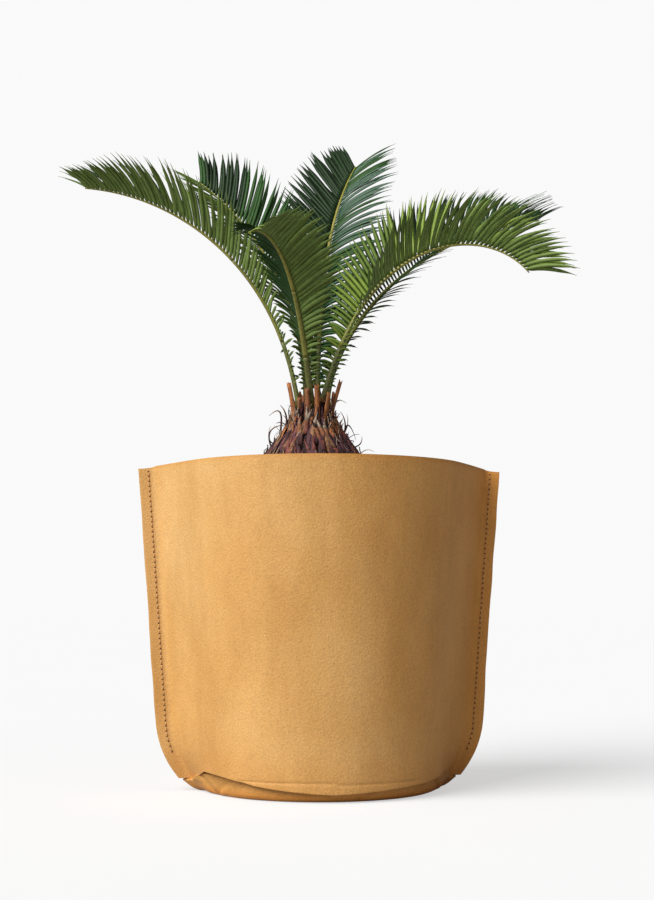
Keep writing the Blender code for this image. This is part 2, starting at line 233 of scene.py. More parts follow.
# Pairs run from foot to tip: degrees for the angles, millimetres for the rest
Frond = namedtuple("Frond", "name foot stalk length azimuth elevation bend roll vee sweep leaf tip_share")
FRONDS = (
    Frond("front", (-9, -10), 3.2, 192, (247, 240), (66, -28), 2.4, (-45, -40), (45, 66), (58, 50), 60, 0.6),
    Frond("right", (1, -5), 2.7, 247, (-14, -20), (73, -53), 1.8, (68, 15), (35, 45), (74, 60), 68, 0.8),
    Frond("left", (-20, -4), 2.3, 265, (185, 185), (80, 1), 1.15, (0, 0), (48, 45), (72, 50), 60, 0.6),
    Frond("back", (-2, 9), 2.6, 262, (75, 60), (88, 42), 0.92, (0, 0), (25, 25), (68, 46), 64, 0.75),
    Frond("back_left", (-12, 7), 2.4, 230, (150, 150), (91, 38), 0.85, (-28, -20), (40, 40), (74, 50), 62,
          0.6),
    Frond("back_right", (6, 4), 2.5, 315, (30, 25), (90, 12), 0.5, (35, 10), (40, 45), (84, 50), 70, 0.45),
)

# How each rank of leaflets departs from its frond's law, at the foot and at the tip of the frond: degrees
# added to the vee and to the sweep, and a factor on the length; then factors on the droop, on the bend
# along the rib and on the width
Rank = namedtuple("Rank", "vee sweep length droop forward width")
RANKS = {
    ("front", 1): Rank((0, 0), (0, 0), (1, 1), 1, 1, 1.3),
    ("front", -1): Rank((-42, -70), (-8, -24), (0.9, 0.7), 1.5, 1, 0.9),
    ("right", 1): Rank((0, 0), (0, 4), (0.9, 0.86), 1, 1, 1.25),
    ("right", -1): Rank((0, 34), (0, 0), (1, 0.95), 0.8, 1, 1),
    ("left", 1): Rank((-28, -2), (-4, -4), (1, 0.96), 1, 1, 1.05),
    ("left", -1): Rank((-24, 8), (0, -2), (1, 1.02), 0.9, 1, 0.9),
    ("back", 1): Rank((0, 0), (0, -10), (1, 1.1), 0.6, 1, 1.4),
    ("back", -1): Rank((0, 0), (0, 8), (1, 0.94), 1.6, 1, 1.3),
    ("back_left", 1): Rank((-6, -20), (0, -4), (1, 0.9), 1, 1, 1.1),
    ("back_left", -1): Rank((0, 8), (0, -4), (1, 1.02), 1, 1.6, 1.15),
    ("back_right", 1): Rank((0, 0), (-4, -6), (1.25, 1.06), 1.2, 2.4, 0.85),
    ("back_right", -1): Rank((0, 0), (0, 0), (1, 1), 1, 1, 0.85),
}


def smooth(x):
    x = min(max(x, 0.0), 1.0)
    return x * x * (3 - 2 * x)


def mix(pair, t):
    return pair[0] + (pair[1] - pair[0]) * t


def bump(x, width):
    """1 at x = 0, falling off to 0 on both sides."""
    return math.exp(-(x / width) ** 2)


# Materials

class Look:
    """A material's node tree, with the few kinds of node that the looks here use."""

    def __init__(self, name, roughness, **sockets):
        self.material = bpy.data.materials.new(name)
        self.material.use_nodes = True
        self.nodes = self.material.node_tree.nodes
        self.links = self.material.node_tree.links
        self.shader = self.nodes["Principled BSDF"]
        self.set("Roughness", roughness)
        for key, value in sockets.items():
            self.set(key.replace("_", " "), value)
        self.place = self.nodes.new("ShaderNodeTexCoord").outputs["Object"]

    def set(self, socket, value):
        self.shader.inputs[socket].default_value = value

    def coordinate(self, letter):
        """X along the line through the seams, or Z above the floor."""
        node = self.nodes.new("ShaderNodeSeparateXYZ")
        self.links.new(self.place, node.inputs[0])
        return node.outputs[letter]

    def across(self, start, end):
        """0 to 1 from one distance to another along the line through the seams."""
        node = self.nodes.new("ShaderNodeMapRange")
        node.inputs["From Min"].default_value = start
        node.inputs["From Max"].default_value = end
        self.links.new(self.coordinate("X"), node.inputs["Value"])
        return node.outputs["Result"]

    def stretched(self, scale):
        mapping = self.nodes.new("ShaderNodeMapping")
        mapping.inputs["Scale"].default_value = scale
        self.links.new(self.place, mapping.inputs["Vector"])
        return mapping.outputs["Vector"]

    def noise(self, scale, detail=4.0, rough=0.55, stretch=None, distortion=0.0):
        node = self.nodes.new("ShaderNodeTexNoise")
        node.inputs["Scale"].default_value = scale
        node.inputs["Detail"].default_value = detail
        node.inputs["Roughness"].default_value = rough
        node.inputs["Distortion"].default_value = distortion
        self.links.new(self.stretched(stretch) if stretch else self.place, node.inputs["Vector"])
        return node.outputs["Fac"]

    def cells(self, scale):
        node = self.nodes.new("ShaderNodeTexVoronoi")
        node.inputs["Scale"].default_value = scale
        self.links.new(self.place, node.inputs["Vector"])
        return node.outputs["Distance"]

    def ramp(self, value, stops):
        node = self.nodes.new("ShaderNodeValToRGB")
        while len(node.color_ramp.elements) < len(stops):
            node.color_ramp.elements.new(0.5)
        for element, (position, colour) in zip(node.color_ramp.elements, stops):
            element.position = position
            element.color = (*colour, 1) if isinstance(colour, tuple) else (colour, colour, colour, 1)
        self.links.new(value, node.inputs["Fac"])
        return node.outputs["Color"]

    def multiplied(self, share, first, second):
        """The first colour times the second, as far as the share says."""
        node = self.nodes.new("ShaderNodeMix")
        node.data_type = "RGBA"
        node.blend_type = "MULTIPLY"
        node.inputs[0].default_value = share
        self.links.new(first, node.inputs[6])
        self.links.new(second, node.inputs[7])
        return node.outputs[2]

    def colour(self, output):
        self.links.new(output, self.shader.inputs["Base Color"])

    def relief(self, height, distance, strength=1.0):
        node = self.nodes.new("ShaderNodeBump")
        node.inputs["Distance"].default_value = distance
        node.inputs["Strength"].default_value = strength
        self.links.new(height, node.inputs["Height"])
        earlier = self.shader.inputs["Normal"]
        if earlier.is_linked:
            self.links.new(earlier.links[0].from_socket, node.inputs["Normal"])
        self.links.new(node.outputs["Normal"], earlier)

    def rough(self, value, low, high):
        node = self.nodes.new("ShaderNodeMapRange")
        node.inputs["To Min"].default_value = low
        node.inputs["To Max"].default_value = high
        self.links.new(value, node.inputs["Value"])
        self.links.new(node.outputs["Result"], self.shader.inputs["Roughness"])


def leather_look(name, dark, middle, light, bands):
    """Vegetable-tanned leather: clouds, bands by height, painted shade that makes the side away from the
    key light deeper and more orange, a fine grain of light and dark specks, pores and faint streaks.
    """
    look = Look(name, 0.6, Sheen_Weight=0.05, Sheen_Roughness=0.45, Specular_IOR_Level=0.45)
    clouds = look.noise(7, 4, 0.6, distortion=0.3)
    base = look.ramp(clouds, [(0.3, dark), (0.5, middle), (0.7, light)])
    base = look.multiplied(1.0, base, look.ramp(look.coordinate("Z"), bands))
    # Painted shade: the +X side, away from the key light, is made deeper and more orange.
    painted_shade_side = look.ramp(look.across(-0.01, 0.125), [(0.0, (1, 1, 1)), (1.0, (0.98, 0.80, 0.52))])
    base = look.multiplied(1.0, base, painted_shade_side)
    fine = look.ramp(look.noise(760, 4, 0.75), [(0.34, 0.74), (0.5, 0.98), (0.66, 1.14)])
    tinted = look.multiplied(0.8, base, fine)
    pores = look.ramp(look.cells(330), [(0.0, (0.45, 0.32, 0.2)), (0.16, (1, 1, 1))])
    dotted = look.multiplied(0.35, tinted, pores)
    streaks = look.ramp(look.noise(34, 5, 0.65, stretch=(1, 1, 0.25)),
                        [(0.35, (0.86, 0.82, 0.72)), (0.6, (1.03, 1.03, 1.03))])
    look.colour(look.multiplied(0.65, dotted, streaks))
    look.rough(clouds, 0.52, 0.7)
    look.relief(look.noise(900, 3, 0.6), 0.25 * MM, 0.7)
    look.relief(look.cells(560), 0.22 * MM, 0.6)
    look.relief(look.noise(45, 3, 0.5), 0.6 * MM, 0.45)
    return look.material


def plain_look(name, colour, roughness, spread=0.25, scale=300, relief=0.15, stretch=None, **sockets):
    """One base colour with a slight fine variation and relief."""
    look = Look(name, roughness, **sockets)
    low = tuple(channel * (1 - spread) for channel in colour)
    high = tuple(min(1, channel * (1 + spread)) for channel in colour)
    grain = look.noise(scale, 3, 0.6, stretch)
    look.colour(look.ramp(grain, [(0.3, low), (0.7, high)]))
    look.relief(grain, relief * MM)
    return look.material


def leaf_look(name, colour, roughness=0.5, gloss=0.2):
    return plain_look(name, colour, roughness, spread=0.16, scale=160, relief=0.1, Specular_IOR_Level=gloss)


# Meshes

class Builder:
    """Collects the points, faces and looks of one piece."""

    def __init__(self):
        self.points = []
        self.faces = []
        self.looks = []

    def tube(self, rings, looks):
        """A capped skin over rings of points; looks is one number, or one for each side."""
        start = len(self.points)
        sides = len(rings[0])
        looks = [looks] * sides if isinstance(looks, int) else looks
        for ring in rings:
            self.points.extend(ring)
        for row in range(len(rings) - 1):
            for side in range(sides):
                low = start + row * sides
                following = (side + 1) % sides
                self.faces.append((low + side, low + following, low + sides + following, low + sides + side))
                self.looks.append(looks[side])
        last = start + (len(rings) - 1) * sides
        self.faces.append(tuple(start + side for side in reversed(range(sides))))
        self.faces.append(tuple(last + side for side in range(sides)))
        self.looks.extend([looks[0], looks[0]])

    def cord(self, line, radii, look, sides=6, flat=1.0):
        """A round or flattened tube along a line of points, its radius given at each."""
        across = None
        rings = []
        for index, (place, radius) in enumerate(zip(line, radii)):
            ahead = line[min(index + 1, len(line) - 1)] - line[max(index - 1, 0)]
            ahead.normalize()
            if across is None:
                across = ahead.orthogonal()
            across = (across - ahead * across.dot(ahead)).normalized()
            other = ahead.cross(across)
            rings.append([place + radius * (across * math.cos(math.tau * side / sides)
                                            + other * math.sin(math.tau * side / sides) * flat)
                          for side in range(sides)])
        self.tube(rings, look)

    def piece(self, name, slot, materials, *nodes, shade_smooth=True):
        """The object, which rides on the root body and stands for the given CAD nodes."""
        mesh = bpy.data.meshes.new(name)
        mesh.from_pydata([tuple(point) for point in self.points], [], self.faces)
        for material in materials:
            mesh.materials.append(material)
        mesh.polygons.foreach_set("material_index", self.looks)
        mesh.polygons.foreach_set("use_smooth", [shade_smooth] * len(self.faces))
        mesh.validate()
        mesh.update()
        item = bpy.data.objects.new(name, mesh)
        bpy.context.scene.collection.objects.link(item)
        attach(item, "root")
        if nodes:
            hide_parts(*nodes)
        return item


# Pot

# Heights of the panels' rows above the lowest ones, and the places in plan of their columns
PANEL_LEVELS = ([SOIL_BOTTOM + step * LOW_LEVEL_STEP for step in range(1, LOW_LEVELS + 1)]
                + [mix((WALL_FROM, RIM_HEIGHT), step / WALL_LEVELS) for step in range(WALL_LEVELS + 1)])
PLAN_SHARES = ([step / CURVE_COLUMNS for step in range(CURVE_COLUMNS)]
               + [1 + step / RUN_COLUMNS for step in range(RUN_COLUMNS)]
               + [2 + step / WALL_COLUMNS for step in range(WALL_COLUMNS + 1)])


def taper(height):
    return mix((FOOT_SEAM, RIM_SEAM), height / RIM_HEIGHT)


def tuck(height):
    return min(TUCK_LIMIT, TUCK_CURVE * max(0.0, 1 - height / TUCK_HEIGHT) ** 2)


def hem_height(theta):
    """Low at the seam, highest close beside it, and falling from there to the middle of the panel."""
    if theta < HEM_PEAK_AT:
        rise = max(0, theta - HEM_RISES_AT) / (HEM_PEAK_AT - HEM_RISES_AT)
        return mix((HEM_AT_SEAM, HEM_PEAK), rise)
    fall = (theta - HEM_PEAK_AT) / (math.pi / 2 - HEM_PEAK_AT)
    return mix((HEM_PEAK, HEM_MIDDLE), 0.5 * fall + 0.5 * smooth(fall))


def plan_point(share, height, inward=0.0):
    """A point of a quarter of the plan.

    The share runs from -1 at the flange's edge to 0 at the seam, to 1 at the end of the tight curve by
    which a panel leaves its flange, to 2 where its straight run touches the round wall, and to 3 at the
    middle of the panel.
    """
    seam = taper(height) - tuck(height) + SEAM_SPREAD
    face = (GAP + LEATHER) / 2
    if share < 0:
        return Vector((seam - share * (FLANGE - SEAM_SPREAD), face))
    centre = Vector((seam, face + FILLET))
    wall = taper(height) - SEAM_STANDS_OUT
    touch = math.acos(min(1, (wall + FILLET) / centre.length)) + math.atan2(centre.y, centre.x)
    touch = max(touch, LEAST_TOUCH)
    radius = FILLET + inward
    turn = mix((math.asin(min(1, centre.y / radius)), touch), min(share, 1))
    curve = centre - Vector((math.cos(turn), math.sin(turn))) * radius
    if share <= 1:
        return curve
    theta = mix((touch, math.pi / 2), max(share - 2, 0))
    round_wall = Vector((math.cos(theta), math.sin(theta))) * (wall - inward)
    return curve.lerp(round_wall, min(share - 1, 1))


def panel_point(column, row, seed):
    """A point of the front panel's middle, with the leather's swells and the crease above its hem."""
    quarter = FLANGE_COLUMNS + len(PLAN_SHARES) - 1
    index = min(column, 2 * quarter - column)
    side = 1 if column > quarter else -1
    share = index / FLANGE_COLUMNS - 1 if index < FLANGE_COLUMNS else PLAN_SHARES[index - FLANGE_COLUMNS]
    at_rim = plan_point(max(share, 0), RIM_HEIGHT)
    theta = math.atan2(at_rim.y, at_rim.x)
    if row < LOW_ROWS:
        hem = hem_height(theta) - side * HEM_UNEVEN * bump(theta - UNEVEN_AT, UNEVEN_WIDTH)
        height = mix((hem, SOIL_BOTTOM), row / LOW_ROWS)
    else:
        height = ([SOIL_BOTTOM] + PANEL_LEVELS)[row - LOW_ROWS]
    point = plan_point(share, height)
    near_rim = smooth((height - RIM_DROP_FROM) / (RIM_HEIGHT - RIM_DROP_FROM))
    drop = RIM_DROP * near_rim * (1 - smooth((share + 1) / RIM_DROP_SHARES))
    place = Vector((side * point.x, -point.y, height - drop))
    probe = place + Vector((seed, 0, 0))
    free = smooth((share - 0.5) / 1.2)
    edge = max(-share, 0)
    swell = (noise.noise(probe * 14) * 0.7 + noise.noise(probe * 45) * 0.18) * MM * free
    crease = bump(height - CREASE_HEIGHT - CREASE_WAVE * math.sin(2 * theta + side), CREASE_WIDTH)
    swell -= CREASE_DEPTH * crease * smooth((theta - CREASE_FROM) / CREASE_FADE)
    wave = noise.noise(Vector((seed + 5, side, height * 25)))
    outward = Vector((place.x, place.y, 0)).normalized()
    return place + outward * swell + Vector((side * noise.noise(probe * 40) * 0.7, wave * 0.1, 0)) * MM * edge


def make_panel(name, node, turn, seed, materials):
    columns = 2 * (FLANGE_COLUMNS + len(PLAN_SHARES) - 1)
    rows = LOW_ROWS + len(PANEL_LEVELS)
    builder = Builder()
    for row in range(rows + 1):
        for column in range(columns + 1):
            builder.points.append(panel_point(column, row, seed))
    for row in range(rows):
        for column in range(columns):
            low = row * (columns + 1) + column
            builder.faces.append((low, low + 1, low + columns + 2, low + columns + 1))
            builder.looks.append(0)
    turning = Matrix.Rotation(turn, 4, "Z")
    builder.points = [turning @ point for point in builder.points]
    panel = builder.piece(name, "leather", materials, node)
    shell = panel.modifiers.new("leather", "SOLIDIFY")
    shell.thickness = LEATHER
    shell.offset = 0
    shell.use_even_offset = True
    shell.material_offset_rim = 1
    round_off = panel.modifiers.new("worn edges", "BEVEL")
    round_off.width = WORN_EDGE
    round_off.segments = 2
    round_off.limit_method = "ANGLE"
    round_off.angle_limit = SHARP_ANGLE


def turned_rings(profile, clear, ripple):
    """Rings of a filling's profile, in shares of the space inside the leather."""
    quarter = len(PLAN_SHARES) - 1
    rings = []
    for share, height in profile:
        ring = []
        for step in range(4 * quarter):
            half_turn, index = divmod(step, 2 * quarter)
            point = plan_point(PLAN_SHARES[min(index, 2 * quarter - index)], height, LEATHER / 2 + clear)
            place = Vector((point.x if index <= quarter else -point.x, point.y)) * (1 - 2 * half_turn) * share
            push, lift = ripple(math.atan2(place.y, place.x), share, height)
            place += place.normalized() * push
            ring.append(Vector((place.x, place.y, height + lift)))
        rings.append(ring)
    return rings


def tray_ripple(theta, share, height):
    """Pinches and folds of the base's turned-up wall, and its corners, which stand out under the seams."""
    if share < 0.9:
        return 0, 0
    wall = smooth(height / (3 * MM))
    around = Vector((math.cos(theta) * 3, math.sin(theta) * 3, height * 60))
    push = noise.noise(around) * 0.9 * MM
    for fold, slope in TRAY_FOLDS:
        off = math.remainder(theta - fold, math.tau) - slope * (height - FOLD_HEIGHT)
        push -= FOLD_DEPTH * bump(off, 0.035)
        push += FOLD_RIDGE * bump(off - 0.07, 0.045)
    off = abs(math.remainder(theta, math.pi))
    corner = CORNER_REACH * (1 / math.cos(max(0.0, CORNER_HALF_ANGLE - off)) - 1)
    corner *= mix(CORNER_GROWTH, min(1, height / HEM_AT_SEAM))
    if off < LEAST_TOUCH:
        at_rim = CORNER_RIM_TOUCH * off / LEAST_TOUCH
    else:
        at_rim = mix((CORNER_RIM_TOUCH, math.pi / 2), (off - LEAST_TOUCH) / (math.pi / 2 - LEAST_TOUCH))
    corner *= min(max((hem_height(at_rim) + CORNER_OVER_HEM - height) / CORNER_FADE, 0), 1)
    return push * wall + corner, 0


def make_tray(material):
    wall = [(1, level * MM) for level in TRAY_LEVELS]
    curve = []
    for step in range(1, TRAY_CURVE_STEPS + 1):
        turn = math.pi / 2 * step / TRAY_CURVE_STEPS
        curve.append((1 - TRAY_CURVE_IN * (1 - math.cos(turn)) ** 1.5, TRAY_CURVE_TOP * (1 - math.sin(turn))))
    flat = [(share, TRAY_TOP) for share in (0.02, 0.5, 0.97)]
    under = [(share, 0) for share in (0.6, 0.02)]
    builder = Builder()
    builder.tube(turned_rings(flat + wall + curve + under, TRAY_CLEAR, tray_ripple), 0)
    return builder.piece("leather_base", "leather", [material], "pot_tray")


def soil_ripple(theta, share, height):
    """The uneven top of the potting mix."""
    if height < SOIL_EDGE - 1 * MM:
        return 0, 0
    place = Vector((math.cos(theta), math.sin(theta), 0)) * share * RIM_SEAM
    lift = noise.noise(place * 60) * 1.6 * MM + noise.noise(place * 260) * 1.3 * MM
    return 0, lift - 1.2 * MM


def make_soil(materials):
    """The filling, flat in its middle and falling to its edge, with crumbs and bark chips on it."""
    top = [(0.01 + 0.44 * step / SOIL_TOP_RINGS, SOIL_TOP) for step in range(SOIL_TOP_RINGS + 1)]
    slope = []
    for step in range(1, SOIL_SLOPE_RINGS + 1):
        down = step / SOIL_SLOPE_RINGS
        slope.append((mix((SOIL_FLAT, 1), down), mix((SOIL_TOP, SOIL_EDGE), down)))
    wall = [(1, level * MM) for level in SOIL_WALL_LEVELS] + [(1, SOIL_BOTTOM), (0.02, SOIL_BOTTOM)]
    builder = Builder()
    builder.tube(turned_rings(top + slope + wall, SOIL_CLEAR, soil_ripple), 0)
    deal = random.Random(31)
    for _ in range(CRUMBS):
        share = math.sqrt(deal.uniform(0.06, 0.9))
        theta = deal.uniform(0, math.tau)
        radius = share * CRUMB_REACH
        rise = mix((SOIL_TOP, SOIL_EDGE), max(0, (share - SOIL_FLAT) / (1 - SOIL_FLAT)))
        place = Vector((radius * math.cos(theta), radius * math.sin(theta), rise - CRUMB_SUNK))
        size = deal.uniform(1.0, 2.6) * MM
        turn = Matrix.Rotation(deal.uniform(0, 6), 3, Vector((deal.uniform(-1, 1), deal.uniform(-1, 1), 1)))
        rings = []
        for lift, width in CRUMB_RINGS:
            ring = []
            for side in range(CRUMB_SIDES):
                spoke = math.tau * side / CRUMB_SIDES
                ring.append(place + turn @ Vector((math.cos(spoke) * width * size * deal.uniform(0.8, 1.2),
                                                   math.sin(spoke) * width * size * 0.7, lift * size)))
            rings.append(ring)
        builder.tube(rings, deal.choice((0, 0, 1, 1, 2)))
    return builder.piece("potting_mix", "soil", materials, "soil", shade_smooth=False)


def make_stitches(materials):
    """Lock stitches down both flanges, on the front and the back face, with a dark disc of painted shade at
    each needle hole.
    """
    builder = Builder()
    turns = [math.tau * step / HOLE_SIDES for step in range(HOLE_SIDES)]
    spokes = [Vector((math.cos(turn), 0, math.sin(turn))) for turn in turns]
    for side in (-1, 1):
        for facing in (-1, 1):
            count = int((RIM_HEIGHT - STITCHES_SHORT) / STITCH_PITCH)
            holes = []
            for index in range(count + 1):
                height = RIM_HEIGHT - STITCHES_START - index * STITCH_PITCH
                radius = taper(height) - tuck(height) + FLANGE - STITCH_INSET
                jitter = noise.noise(Vector((side, facing, height * 90))) * 0.25 * MM
                holes.append(Vector((side * (radius + jitter), facing * (GAP / 2 + LEATHER), height)))
            out = Vector((0, facing, 0))
            for hole in holes:
                builder.tube([[hole + spoke * width * MM + out * lift * MM for spoke in spokes]
                              for width, lift in HOLE_RINGS], 1)
            for upper, lower in zip(holes, holes[1:]):
                line = []
                for step in range(6):
                    t = step / 5
                    arch = 0.55 * MM * math.sin(math.pi * t) - 0.2 * MM
                    line.append(upper.lerp(lower, 0.1 + 0.8 * t) + out * arch)
                builder.cord(line, [0.2 * MM] + [0.36 * MM] * 4 + [0.2 * MM], 0, sides=6)
    return builder.piece("seam_stitches", "leather", materials)


# Trunk

def trunk_radius(height):
    for (low_radius, low), (high_radius, high) in zip(TRUNK_PROFILE[1:], TRUNK_PROFILE):
        if low <= height <= high:
            return mix((low_radius, high_radius), (height - low) / (high - low))
    return TRUNK_PROFILE[0][0]


def trunk_place(angle, height, out):
    """A point at a direction round the trunk, a height, and a distance out from its side."""
    radius = trunk_radius(height) - WAIST * bump(height - WAIST_HEIGHT, WAIST_WIDTH) + out
    return Vector((TRUNK_X + radius * math.cos(angle), radius * math.sin(angle), height))


def core_end(ring, height):
    """A ring drawn in to a tenth, which closes an end of the core."""
    return [Vector((TRUNK_X + (point.x - TRUNK_X) * 0.1, point.y * 0.1, height)) for point in ring]


def make_trunk(materials):
    """The core with its furrows, pointed leaf bases, cut stalks, sheaths at their foot and curled fibres."""
    builder = Builder()
    rings = []
    for level in range(CORE_RINGS + 1):
        height = mix((GROUND, NECK_TOP), level / CORE_RINGS)
        ring = []
        for step in range(CORE_SIDES):
            angle = math.tau * step / CORE_SIDES
            around = Vector((math.cos(angle) * 9, math.sin(angle) * 9, height * 30))
            ring.append(trunk_place(angle, height, noise.noise(around) * 1.8 * MM - 4.6 * MM))
        rings.append(ring)
    builder.tube([core_end(rings[0], GROUND)] + rings + [core_end(rings[-1], NECK_TOP)], 0)
    deal = random.Random(7)
    for row in range(SCALE_ROWS):
        share = row / (SCALE_ROWS - 1)
        count = round(mix(SCALES_A_ROW, share))
        for index in range(count):
            angle = math.tau * (index + (row % 2) / 2 + deal.uniform(-0.4, 0.4)) / count
            height = mix((GROUND + 4 * MM, SCALES_TOP), share) + deal.uniform(-3, 3) * MM
            add_leaf_base(builder, deal, angle, height, share)
    for index in range(STUBS):
        add_stub(builder, deal, math.tau * (index + STUB_TURN) / STUBS, STUB_RADIUS,
                 STUB_RISE - STUB_CUTS[index] * MM, math.radians(STUB_LEANS[index]),
                 STUB_WIDTH * STUB_SLIMNESS)
    for index in range(SHEATHS):
        add_sheath(builder, deal, math.tau * (index + deal.uniform(-0.4, 0.4)) / SHEATHS)
    for index in range(INNER_STUBS):
        add_stub(builder, deal, math.tau * (index + 0.1) / INNER_STUBS, INNER_STUB_RADIUS,
                 deal.uniform(17, 27) * MM, math.radians(deal.uniform(1, 8)), INNER_STUB_WIDTH)
    for _ in range(FIBRES):
        add_fibre(builder, deal)
    for angle, points, thickness in HOOKS:
        add_hook(builder, math.radians(angle), points, thickness)
    return builder.piece("shaggy_trunk", "trunk", materials, "trunk")


def add_leaf_base(builder, deal, angle, height, share):
    """A slim pointed scale that lies up the trunk; its dry tip is paler and lifts away or curls."""
    length = deal.uniform(15, 30) * MM
    width = mix((7.4, 5.2), share) * MM * deal.uniform(0.55, 1.2)
    lift = deal.choice((0.5, 1, 1.5, 2, 3, 5)) * MM
    sway = deal.uniform(-0.22, 0.22)
    line = []
    for step in range(len(SCALE_SHAPE)):
        t = step / (len(SCALE_SHAPE) - 1)
        level = min(height - 5 * MM + length * t, NECK_TOP - 5 * MM)
        out = -4.4 * MM + 2.6 * MM * smooth(t * 2) + lift * t ** 3
        line.append(trunk_place(angle + sway * t * t, level, out))
    side_way = Vector((-math.sin(angle), math.cos(angle), 0))
    out = Vector((math.cos(angle), math.sin(angle), 0))
    side_way = (side_way + out * deal.uniform(-0.5, 0.5)).normalized()
    rings = []
    for place, part in zip(line, SCALE_SHAPE):
        half = width / 2 * part
        thick = 1.9 * MM * max(part, 0.3)
        rings.append([place - side_way * half, place - side_way * half * 0.45 + out * thick,
                      place + out * thick * 0.6, place + side_way * half * 0.45 + out * thick,
                      place + side_way * half, place - out * thick * 0.6])
    builder.tube(rings[:5], deal.choices((1, 2, 5, 3), weights=(4, 4, 4, 2))[0])
    builder.tube(rings[4:], deal.choices((1, 2, 3, 4, 5), weights=(3, 2, 2 + 3 * share, 1 + 3 * share, 3))[0])


def add_sheath(builder, deal, angle):
    """A dry strip at the foot of the cut stalks, its pale tip frayed and curling off."""
    foot = deal.uniform(281, 292) * MM
    length = deal.uniform(14, 27) * MM
    width = deal.uniform(3.2, 6.8) * MM
    flare = deal.choice((0, 1, 2, 5, 8)) * MM
    sway = deal.uniform(-0.35, 0.35)
    rings = []
    for step, part in enumerate(SHEATH_SHAPE):
        t = step / (len(SHEATH_SHAPE) - 1)
        turn = angle + sway * t * t
        level = foot + length * (t - 0.25 * t * t * flare / (8 * MM))
        place = trunk_place(turn, min(level, 309 * MM), mix((-2.6, 0.2), smooth(t * 3)) * MM + flare * t ** 4)
        place.z = level
        out = Vector((math.cos(turn), math.sin(turn), 0))
        across = Vector((-math.sin(turn), math.cos(turn), 0))
        half = width / 2 * part
        rings.append([place - across * half, place + out * half * 0.5, place + across * half,
                      place - out * 0.5 * MM])
    builder.tube(rings[:5], deal.choice((2, 3, 6, 7, 7)))
    builder.tube(rings[4:], deal.choice((1, 3, 4, 4, 4)))


def add_stub(builder, deal, angle, radius, rise, lean, width):
    """A cut leaf stalk: flattened, ribbed, a little bent, widening to its foot, with a ragged top."""
    place = (Matrix.Translation((TRUNK_X, 0, NECK_TOP - STUB_SUNK)) @ Matrix.Rotation(angle, 4, "Z")
             @ Matrix.Translation((radius, 0, 0)) @ Matrix.Rotation(lean, 4, "Y")
             @ Matrix.Rotation(deal.uniform(-0.13, 0.13), 4, "X"))
    width *= deal.uniform(0.75, 1.15)
    sides = 12
    bend = deal.uniform(-1.6, 1.6) * MM
    ragged = [deal.uniform(-3.2, 0.8) * MM for _ in range(sides)]
    foot = -12 * MM
    rings = []
    for step in range(11):
        t = step / 10
        size = width / 2 * mix((1.45, 0.86), smooth(t * 1.3)) * (1 + 0.06 * math.sin(9 * t + angle * 5))
        ring = []
        for side in range(sides):
            turn = math.tau * side / sides
            rib = 1 + 0.12 * math.sin(5 * turn + angle * 3)
            level = mix((foot, rise), t) + (ragged[side] if step == 10 else 0)
            ring.append(place @ Vector((math.cos(turn) * size * rib * 0.75,
                                        math.sin(turn) * size * rib + bend * t * t, level)))
        rings.append(ring)
    top = place @ Vector((0, bend, rise - 2.4 * MM))
    rings.append([top + (point - top) * 0.35 for point in rings[-1]])
    builder.tube(rings, deal.choice((6, 6, 7)))


def add_fibre(builder, deal):
    """A loose curled fibre."""
    angle = deal.uniform(0, math.tau)
    height = deal.uniform(255, 306) * MM
    place = trunk_place(angle, height, -2 * MM)
    out = Vector((math.cos(angle), math.sin(angle), 0))
    heading = (out * deal.uniform(0.1, 0.8) + Vector((0, 0, 1))).normalized()
    curl = Matrix.Rotation(deal.uniform(-0.25, 0.25), 3, out.cross(Vector((0, 0, 1))))
    twist = Matrix.Rotation(deal.uniform(-0.2, 0.2), 3, "Z")
    steps = 10
    length = deal.uniform(8, 19) * MM
    line = [place]
    for _ in range(steps):
        line.append(line[-1] + heading * length / steps)
        heading = (curl @ twist @ heading).normalized()
    size = deal.uniform(0.3, 0.7) * MM
    radii = [size * (1 - 0.75 * (k / steps) ** 2) for k in range(steps + 1)]
    builder.cord(line, radii, deal.choice((1, 1, 2, 4, 5)), 5, 0.6)


def add_hook(builder, angle, points, thickness):
    """A long curled fibre through three points given by distance from the trunk's axis and height."""
    first, second, third = [Vector((TRUNK_X + radius * MM * math.cos(angle),
                                    radius * MM * math.sin(angle), height * MM))
                            for radius, height in points]
    middle = 2 * second - (first + third) / 2
    line = []
    radii = []
    for step in range(HOOK_STEPS + 1):
        t = step / HOOK_STEPS
        radii.append(1.2 * thickness * MM * (1 - 0.8 * t ** 2))
        line.append(first * (1 - t) ** 2 + middle * 2 * t * (1 - t) + third * t * t)
    builder.cord(line[:9], radii[:9], 1, 6, 0.7)
    builder.cord(line[8:], radii[8:], 3, 6, 0.7)


# Fronds

def rib_frames(frond):
    place = Vector((frond.foot[0] * MM, frond.foot[1] * MM, BEND_START))
    frames = []
    for step in range(RIB_STEPS + 1):
        u = step / RIB_STEPS
        rise = math.radians(mix(frond.elevation, u ** frond.bend))
        turn = math.radians(mix(frond.azimuth, u))
        roll = math.radians(mix(frond.roll, u))
        along = Vector((math.cos(rise) * math.cos(turn), math.cos(rise) * math.sin(turn), math.sin(rise)))
        level = Vector((-math.sin(turn), math.cos(turn), 0))
        normal = along.cross(level)
        across = level * math.cos(roll) + normal * math.sin(roll)
        upper = normal * math.cos(roll) - level * math.sin(roll)
        frames.append((place.copy(), along, across, upper))
        place += along * frond.length * MM / RIB_STEPS
    return frames


def frame_at(frames, u):
    step = min(int(u * RIB_STEPS), RIB_STEPS - 1)
    return [low.lerp(high, u * RIB_STEPS - step) for low, high in zip(frames[step], frames[step + 1])]


def rib_radius(frond, u):
    return mix((TIP_RADIUS, frond.stalk), (1 - u) ** STALK_TAPER) * MM


